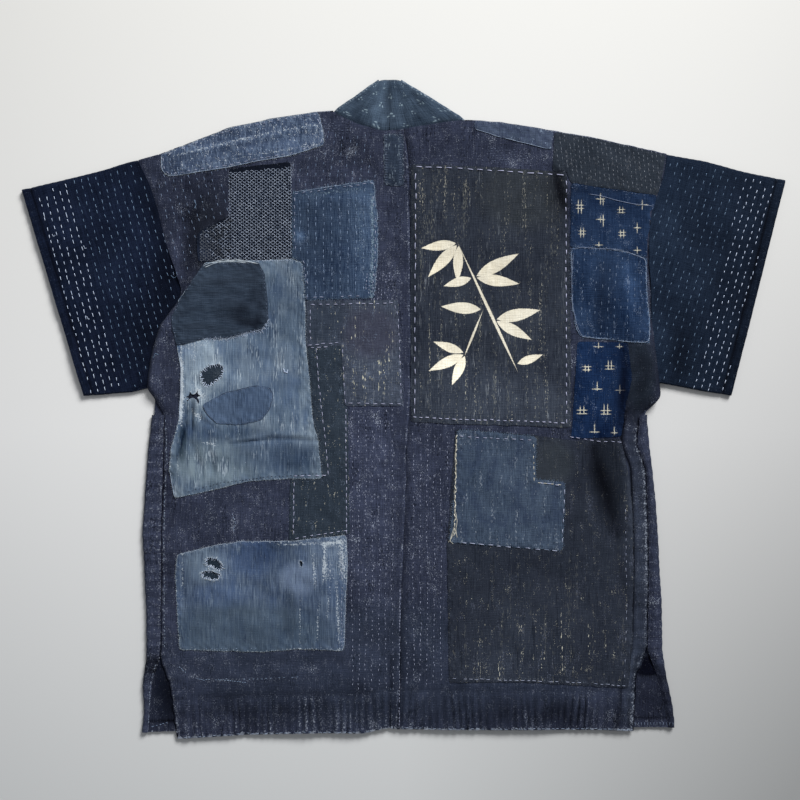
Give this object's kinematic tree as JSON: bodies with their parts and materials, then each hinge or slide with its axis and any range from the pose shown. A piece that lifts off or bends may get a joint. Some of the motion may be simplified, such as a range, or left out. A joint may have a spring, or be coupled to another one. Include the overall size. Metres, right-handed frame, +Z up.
{
  "type": "patched boro jacket laid flat",
  "caption": "Patched indigo boro jacket with wide straight sleeves and a band collar, laid flat with its back up.",
  "frame": {"origin": "centre of the jacket's box, on the surface it lies on", "axes": "+X towards the wearer's right sleeve, +Y towards the collar, +Z up, out of the jacket's back"},
  "size_m": [0.9551, 0.8246, 0.0131],
  "materials": {
    "body_cloth": "faded purple-navy plain weave with sashiko",
    "sleeve_cloth": "dark indigo with rows of white sashiko",
    "collar_cloth": "teal indigo with small pale kasuri florets",
    "patch_shoulder_left": "light indigo cotton, sashiko rows, frayed edge",
    "patch_herringbone": "dense herringbone sashiko in off-white thread on black",
    "patch_blue_stitched": "blue plain weave with running stitch columns",
    "patch_faded_large": "pale faded indigo, worn through at a hole, frayed",
    "patch_charcoal": "dark grey-navy plain weave",
    "patch_leaf": "mid blue plain weave, leaf shaped",
    "patch_slub": "dark indigo with off-white weft slubs",
    "patch_slub_strip": "dark indigo strip, running stitch edge",
    "patch_faded_lower": "faded indigo with small holes, frayed",
    "patch_neck_strip": "dark teal strip, frayed",
    "patch_shoulder_right": "greyish light blue, sashiko rows",
    "patch_brown_sashiko": "brownish black, dense fine sashiko",
    "patch_black_large": "black with off-white slubs and a pale stencilled leaf spray",
    "patch_kasuri_upper": "blue kasuri with pale crosses",
    "patch_mid_blue": "mid blue, fine sashiko",
    "patch_kasuri_lower": "blue kasuri with pale hash marks",
    "patch_blue_corner": "grey-blue L shaped cotton, whip stitched edge",
    "patch_dark_lower": "dark slate with faint slubs"
  },
  "bodies": {
    "root": {"body_left": "body_cloth", "body_right": "body_cloth", "sleeve_left": "sleeve_cloth", "sleeve_right": "sleeve_cloth", "collar_left": "collar_cloth", "collar_right": "collar_cloth", "patch_shoulder_left": "patch_shoulder_left", "patch_herringbone": "patch_herringbone", "patch_blue_stitched": "patch_blue_stitched", "patch_faded_large": "patch_faded_large", "patch_charcoal": "patch_charcoal", "patch_leaf": "patch_leaf", "patch_slub": "patch_slub", "patch_slub_strip": "patch_slub_strip", "patch_faded_lower": "patch_faded_lower", "patch_neck_strip": "patch_neck_strip", "patch_shoulder_right": "patch_shoulder_right", "patch_brown_sashiko": "patch_brown_sashiko", "patch_black_large": "patch_black_large", "patch_kasuri_upper": "patch_kasuri_upper", "patch_mid_blue": "patch_mid_blue", "patch_kasuri_lower": "patch_kasuri_lower", "patch_blue_corner": "patch_blue_corner", "patch_dark_lower": "patch_dark_lower"}
  },
  "joints": []
}
